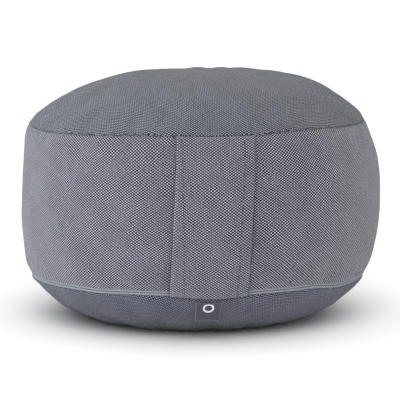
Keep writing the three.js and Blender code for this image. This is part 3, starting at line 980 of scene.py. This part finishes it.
STITCH_LENGTH = 2.3 * MM                # stitches down the handle's folds
STITCH_STEP = 3.2 * MM
STITCH_INSET = 1.6 * MM                 # how far the stitches lie inside the fold
EDGE_TURN = 1.6 * MM                    # how far the handle's long edges turn down to the band
EDGE_TURN_REACH = 4 * MM                # and the width that turns
EDGE_SHADOW_THREAD = 0.62 * MM                 # radius of the dark thread down the long edges: a painted shadow line beside them

# Heights, and how far the handle's outer and inner faces stand off the band there, in millimetres.
HANDLE_STAND = np.array([
    (42.3, -1.8, -3.4), (42.8, 0.8, -1.4), (43.5, 2.9, 1.2), (45.5, 4.6, 2.9), (49, 5.5, 3.6),
    (54, 6.2, 4.2), (62, 7.2, 5.2), (72, 8.1, 6.1), (85, 8.8, 6.8), (105, 9.2, 7.2), (130, 9.1, 7.1),
    (148, 8.7, 6.7), (160, 8.0, 6.0), (170, 6.9, 4.9), (176, 5.6, 3.7), (180, 4.3, 2.5),
    (183, 2.9, 1.1), (184.6, 1.9, 0.2), (185.4, 0.6, -0.8), (185.8, -1.3, -2.2),
]) * MM


def fold_width(side, share):
    """How wide the handle's edge is folded in: steady at +X, and wandering at -X."""
    return 11.5 * MM + 0 * share if side > 0 else (10.5 - 9 * share) * MM


def handle_folds(wide, share):
    """1 where the handle's edge is folded in."""
    right, left = (HANDLE_HALF - fold_width(side, share)[:, None] for side in (1, -1))
    return smooth(-0.7 * MM, 0.7 * MM, np.abs(wide) - np.where(wide > 0, right, left))


def inwards(points):
    """The level direction from each point to the cushion's middle."""
    return -points * [1, 1, 0] / np.linalg.norm(points[:, :2], axis=1, keepdims=True)


def handle_stitches(face, wide, share):
    """Dark stitches down both folds, and a dark thread down both edges that paints the shadow line
    beside them. face[row, column] is the handle's outer face."""
    stitches = []
    edge_shadow_lines = []
    for side in (-1, 1):
        at = side * (HANDLE_HALF - fold_width(side, share) + STITCH_INSET)
        line = np.array([[np.interp(x, wide, row[:, k]) for k in range(3)] for x, row in zip(at, face)])
        run = distances(line)
        for start in np.arange(4 * MM, run[-1] - 8 * MM, STITCH_STEP):
            along = start + np.linspace(0, STITCH_LENGTH, 5)
            path = np.stack([np.interp(along, run, line[:, k]) for k in range(3)], -1)
            sunk = np.array([[0.5], [0.1], [0], [0.1], [0.5]]) * MM
            stitches.append(path + inwards(path) * sunk)
        # Painted shadow: a dark thread down each long edge stands for the shadow line beside it.
        edge = face[3:-3, 0 if side < 0 else -1]
        edge_shadow_lines.append(edge + 0.6 * MM * inwards(edge))
    thread_piece("handle_stitch_thread", stitches, 0.33 * MM, 6)
    thread_piece("handle_edge_shadow_thread", edge_shadow_lines, EDGE_SHADOW_THREAD, 8)


def carry_handle():
    fine = np.linspace(HANDLE_STAND[0, 0], HANDLE_STAND[-1, 0], 600)
    kernel = np.hanning(9) / np.hanning(9).sum()
    faces = [np.interp(fine, HANDLE_STAND[:, 0], HANDLE_STAND[:, k]) for k in (1, 2)]
    outer, inner = (np.convolve(np.pad(f, 4, "edge"), kernel, "valid") for f in faces)
    height = np.concatenate([np.linspace(42.3, 46, 10), np.linspace(48, 178, 56),
                             np.linspace(180, 185.8, 12)]) * MM
    outer, inner = np.interp(height, fine, outer), np.interp(height, fine, inner)
    across = np.concatenate([np.linspace(-1, -0.95, 6)[:-1], np.linspace(-0.95, 0.95, 84),
                             np.linspace(0.95, 1, 6)[1:]])
    wide = across * HANDLE_HALF
    edge = np.sqrt(np.clip(1 - ((np.abs(across) - 0.97) / 0.03).clip(0) ** 2, 0, 1))
    base = side_radius(np.clip(height, BASE_Z, TOP_Z))
    share = (height - (TOP_Z + BASE_Z) / 2) / (TOP_Z - BASE_Z)
    arch = np.sin(np.linspace(0, math.pi, len(height)))[:, None]
    sag = 0.6 * MM * arch * waves(across * 1.4, 77, 1, 3, 5)
    middle = (outer + inner) / 2
    half = (outer - inner) / 2
    swell = edge * (half[:, None] + 0.35 * MM * handle_folds(wide, share))

    turned = EDGE_TURN * smooth(HANDLE_HALF - EDGE_TURN_REACH, HANDLE_HALF, np.abs(wide))
    free = np.clip(middle / middle.max(), 0, 1)[:, None] ** 2

    def face(sign, columns):
        stand = (middle[:, None] + sag - free * turned + sign * swell)[:, columns]
        r = base[:, None] + stand
        angle = wide[columns] / r + handle_centre(height)[:, None]
        drop = zip_wave(angle) * near(height - height[0], 22 * MM)[:, None]
        drop += top_sag(angle) * near(height[-1] - height, 22 * MM)[:, None]
        return place(r, height[:, None] + drop, angle)

    columns = np.arange(len(across))
    outer_face = face(1, columns)
    loop = np.concatenate([outer_face, face(-1, columns[::-1][1:-1])], 1)
    back = wide[-1] + (wide[-1] - wide[::-1][1:-1])
    run = np.concatenate([wide, back, [wide[-1] * 3]])
    lengths = distances(np.stack([base + middle, height], -1))
    cloth = np.stack(np.meshgrid(run + 0.4 * MM, lengths), -1)
    piece = grid_object("handle_strap", loop, cloth, closed=True)
    close_ends(piece, loop.shape[1], loop.shape[0])
    finish_piece(piece, COVER_CLOTH, replaces=["carry_handle"])
    handle_stitches(outer_face, wide, share)


def close_ends(piece, columns, rows, both=True):
    """Fills the first row of a closed grid, and the last."""
    made = bmesh.new()
    made.from_mesh(piece.data)
    made.verts.ensure_lookup_table()
    made.faces.new([made.verts[i] for i in reversed(range(columns))])
    last = (rows - 1) * columns
    if both:
        made.faces.new([made.verts[last + i] for i in range(columns)])
    made.to_mesh(piece.data)
    made.free()
    shade_smooth(piece.data)


def label_point(down, lift):
    """(r, z) at a distance down the label and a lift off its middle."""
    edge = on_zip(BASE_EDGE_U - 0.1 * MM, 1.3 * MM)
    hang = down / LABEL_LENGTH
    r = edge[0] - 13 * MM * hang**1.2
    z = np.minimum(edge[1] - 21 * MM * hang, base_z(r) - 0.7 * MM)
    slope = math.radians(33)
    return r + lift * math.cos(slope), z - lift * math.sin(slope) + float(zip_sag(LABEL_ANGLE))


def woven_label():
    down = np.linspace(0, LABEL_LENGTH, 30)
    across = np.linspace(-1, 1, 25)
    thick = 0.45 * MM
    r, z = np.array([label_point(d, thick) for d in down]).T
    curl = LABEL_CURL * across**2 * (down[:, None] / LABEL_LENGTH) ** 2
    angle = LABEL_ANGLE + across * LABEL_HALF / BASE_R
    face = place(r[:, None] + curl, z[:, None] - curl, angle)
    cloth = np.stack(np.meshgrid(across * LABEL_HALF, down), -1)
    piece = grid_object("woven_label_cloth", face[::-1], cloth)
    thicken(piece, 2 * thick)
    finish_piece(piece, LABEL_CLOTH, replaces=["woven_label"])
    woven_mark(thick)


def woven_mark(thick):
    """A plain ring, woven in pale thread."""
    outer, inner = RING_R, RING_HOLE_R
    turn = np.linspace(0, TAU, 48, endpoint=False)
    rows = []
    for radius, lift in ((outer, -0.1), (outer, 0.08), (outer - 0.2 * MM, 0.16), (inner + 0.2 * MM, 0.16),
                         (inner, 0.08), (inner, -0.1)):
        along = 0.39 * LABEL_LENGTH + radius * np.sin(turn)
        across = radius * np.cos(turn)
        curl = LABEL_CURL * (across / LABEL_HALF) ** 2 * (along / LABEL_LENGTH) ** 2
        r, z = np.array([label_point(d, thick + (0.1 + lift) * MM) for d in along]).T
        rows.append(place(r + curl, z - curl, LABEL_ANGLE + across / BASE_R))
    cloth = np.zeros((len(rows), len(turn) + 1, 2))
    piece = grid_object("woven_label_mark", np.array(rows), cloth, closed=True)
    finish_piece(piece, LABEL_MARK)


# ---- pieces inside ----

BAG_COLUMNS = 216
BAG_SPAN = TAU / BAG_COLUMNS
LINER_SLOT = 2.75 * MM                  # half the height of the opening for the liner's zip
LINER_ZIP_ENDS = (math.radians(120), math.radians(240))
LINER_ZIP_ROOM = 7 * MM                 # how far the husks lie in behind the liner's zip
INNER_CROWN = 3.3
INNER_SPACING = 4 * MM                  # of the liner's and the husks' rows
LINER_FOOT_R = 76 * MM
LINER_CLOTH = 0.8 * MM
HUSK_TOP = (148.6 * MM, 182 * MM)       # (r, z) of the edges of the husks' crown and base
HUSK_BASE = (148 * MM, 43 * MM)
HUSK_FOOT_R = 75 * MM


def revolved(name, rows, out, closed_end=None, leave_out=None):
    """A panel of a round bag. out is how far each point stands out, and closed_end closes the
    last row on the middle at that height."""
    angle = np.arange(BAG_COLUMNS) * BAG_SPAN
    normal = outward(rows)
    r = rows[:, 0:1] + normal[:, 0:1] * out
    z = rows[:, 1:2] + normal[:, 1:2] * out
    points = np.stack([r * np.sin(angle), -r * np.cos(angle), z], -1)
    around = np.append(angle, TAU)
    if closed_end is None:
        cloth = np.stack(np.meshgrid(around * rows[:, 0].max(), distances(rows)), -1)
        tip = None
    else:
        cloth = rows[:, 0:1, None] * np.stack([np.sin(around), -np.cos(around)], -1)
        tip = (np.array([[0, 0, closed_end]]), (0, 0))
    return grid_object(name, points, cloth, closed=True, tip=tip, leave_out=leave_out)


def lumps(rows, seed, size, grain):
    """Soft lumps that the filling presses into a bag, fading out at the panel's two ends."""
    rng = np.random.default_rng(seed)
    field = rng.normal(size=(len(rows), BAG_COLUMNS))
    for _ in range(grain):
        field = (field + np.roll(field, 1, 1) + np.roll(field, -1, 1)) / 3
        field[1:-1] = (field[2:] + field[1:-1] + field[:-2]) / 3
    field *= size / field.std()
    ends = np.sin(np.linspace(0, math.pi, len(rows))) ** 0.5
    return field * ends[:, None]


def liner():
    """The undyed bag under the cover: a top, a band with a slot for its zip, and a base."""
    top, band, base = (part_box(n) for n in ("liner_top_panel", "liner_side_band", "liner_base_panel"))
    rows = bag_rows(band[1].x, (top[1].x, top[0].z), (base[1].x, base[1].z), LINER_FOOT_R,
                    base[0].z, top[1].z, INNER_CROWN, INNER_SPACING)
    heights = rows["band"][:, 1]
    for edge in (WIDEST_Z - LINER_SLOT, WIDEST_Z + LINER_SLOT):
        nearest = int(np.argmin(np.abs(heights - edge)))
        rows["band"][nearest, 1] = edge
    first, last = (round(end / BAG_SPAN) for end in LINER_ZIP_ENDS)

    def in_slot(i, j):
        middle = (heights[i] + heights[i + 1]) / 2
        return abs(middle - WIDEST_Z) < LINER_SLOT and first <= j < last

    base_rows = rows["base"][::-1]
    pieces = {
        "liner_top_panel": revolved("liner_top_cotton", rows["top"],
                                    lumps(rows["top"], 5, 0.35 * MM, 5), top[1].z),
        "liner_side_band": revolved("liner_band_cotton", rows["band"],
                                    lumps(rows["band"], 6, 0.07 * MM, 5), leave_out=in_slot),
        "liner_base_panel": revolved("liner_base_cotton", base_rows,
                                     -lumps(base_rows, 7, 0.09 * MM, 5), base[0].z),
    }
    pieces["liner_base_panel"].data.flip_normals()
    for node, piece in pieces.items():
        thicken(piece, LINER_CLOTH)
        finish_piece(piece, LINER_COTTON, replaces=[node])


def husks():
    """The mass of loose husks that fills the liner."""
    low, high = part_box("hull_filling")
    rows = bag_rows(high.x, HUSK_TOP, HUSK_BASE, HUSK_FOOT_R, low.z, high.z, INNER_CROWN,
                    INNER_SPACING)
    whole = np.concatenate([rows["base"], rows["band"][1:-1], rows["top"]])
    rough = np.minimum(np.abs(lumps(whole, 9, 0.8 * MM, 1)), 2 * MM)
    piece = revolved("husk_mass", whole, -rough - behind_liner_zip(whole), high.z)
    close_ends(piece, BAG_COLUMNS, 1, both=False)
    finish_piece(piece, HUSKS, replaces=["hull_filling"])


def behind_liner_zip(rows):
    """How far the husks lie in behind the liner's zip, which needs room for its tapes and slider."""
    angle = np.arange(BAG_COLUMNS) * BAG_SPAN
    past_end = np.abs(angle - math.pi) - (LINER_ZIP_ENDS[1] - math.pi)
    along = 1 - smooth(math.radians(4), math.radians(8), past_end)
    level = 1 - smooth(9 * MM, 13 * MM, np.abs(rows[:, 1] - WIDEST_Z))
    return LINER_ZIP_ROOM * level[:, None] * along


def dress_inner_nodes():
    """Gives the carried-over zip parts of the liner, and the zip stops, their finish."""
    for name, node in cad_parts.items():
        if node.hide_render:
            continue
        material = ZIP_METAL
        if name.startswith(("liner_zip_coil", "liner_zip_tape")):
            material = LINER_NYLON
        node.data.materials.clear()
        node.data.materials.append(material)


# ---- stage ----

WORLD_STRENGTH = 0.56
KEY_STRENGTH = 1.3
SIDE_STRENGTH = 1.45                    # the side and low lights leave the floor alone
LOW_STRENGTH = 0.4
BACKDROP_STRENGTH = 1.6                 # falls on the floor only


def soft_light(name, source, strength, colour=(1, 1, 1), spread=0.9):
    """A broad soft light from one side of the studio, even over the whole floor. spread is how
    wide it looks from the cushion, in radians."""
    light = bpy.data.lights.new(name, "SUN")
    light.energy = strength
    light.angle = spread
    light.color = colour
    lamp = bpy.data.objects.new(name, light)
    lamp.rotation_euler = Vector(source).to_track_quat("Z", "Y").to_euler()
    bpy.context.scene.collection.objects.link(lamp)
    return lamp


def link_to_floor(lamp, sheet, state):
    """Makes a light fall on the floor only, or on everything but the floor."""
    receivers = bpy.data.collections.new(lamp.name + "_receivers")
    receivers.objects.link(sheet)
    receivers.collection_objects[0].light_linking.link_state = state
    lamp.light_linking.receiver_collection = receivers


def studio():
    floor = bpy.data.meshes.new("floor")
    far = 30
    floor.from_pydata([(-far, -far, 0), (far, -far, 0), (far, far, 0), (-far, far, 0)], [], [(0, 1, 2, 3)])
    sheet = new_object("floor", floor)
    sheet.location.z = -0.3 * MM
    floor.materials.append(plain_finish("floor_paper", (0.93, 0.93, 0.93, 1), 0.9, grain=0.02, spread=0.01))
    world = bpy.data.worlds.new("studio")
    world.use_nodes = True
    background = world.node_tree.nodes["Background"]
    background.inputs["Color"].default_value = (1, 1, 1, 1)
    background.inputs["Strength"].default_value = WORLD_STRENGTH
    bpy.context.scene.world = world
    soft_light("key", (-0.1, -1, 0.7), KEY_STRENGTH, (1, 0.99, 0.97))
    side = soft_light("side", (-1, -0.05, 0.5), SIDE_STRENGTH, (0.9, 0.96, 1))
    low = soft_light("low", (-1, -1.1, 0.35), LOW_STRENGTH)
    backdrop = soft_light("backdrop", (0, 0, 1), BACKDROP_STRENGTH, spread=1.8)
    link_to_floor(backdrop, sheet, "INCLUDE")
    link_to_floor(side, sheet, "EXCLUDE")
    link_to_floor(low, sheet, "EXCLUDE")
    bpy.context.scene.view_settings.view_transform = "Standard"


CAMERA_TURN = math.radians(-3.9)
CAMERA_RISE = math.radians(8.0)
CAMERA_AWAY = 2.2
CAMERA_AIM = Vector((0.0, 0.0, 0.1078))
FRAME_PIXELS = 400
FOCAL_PIXELS = 2310


def add_camera():
    data = bpy.data.cameras.new("camera")
    data.sensor_width = 36
    data.lens = data.sensor_width * FOCAL_PIXELS / FRAME_PIXELS
    data.clip_end = 100
    camera = bpy.data.objects.new("camera", data)
    flat = CAMERA_AWAY * math.cos(CAMERA_RISE)
    camera.location = CAMERA_AIM + Vector((flat * math.sin(CAMERA_TURN), -flat * math.cos(CAMERA_TURN),
                                           CAMERA_AWAY * math.sin(CAMERA_RISE)))
    camera.rotation_euler = (CAMERA_AIM - camera.location).to_track_quat("-Z", "Y").to_euler()
    bpy.context.scene.collection.objects.link(camera)
    bpy.context.scene.camera = camera


# ---- the scene ----

add_camera()
studio()
settle_cover()
side_band()
top_panel()
base_panel()
zip_tapes()
zip_coil(1, "zip_coil_upper_wire", "cover_zip_coil_upper")
zip_coil(-1, "zip_coil_lower_wire", "cover_zip_coil_lower")
zip_patch()
zip_slider()
zip_pull()
seam_stitches("top_seam_thread", top_seam, 3)
seam_stitches("base_seam_thread", base_seam, 4, 1.5 * MM, 0.8 * MM, 0.32 * MM)
carry_handle()
woven_label()
liner()
husks()
dress_inner_nodes()
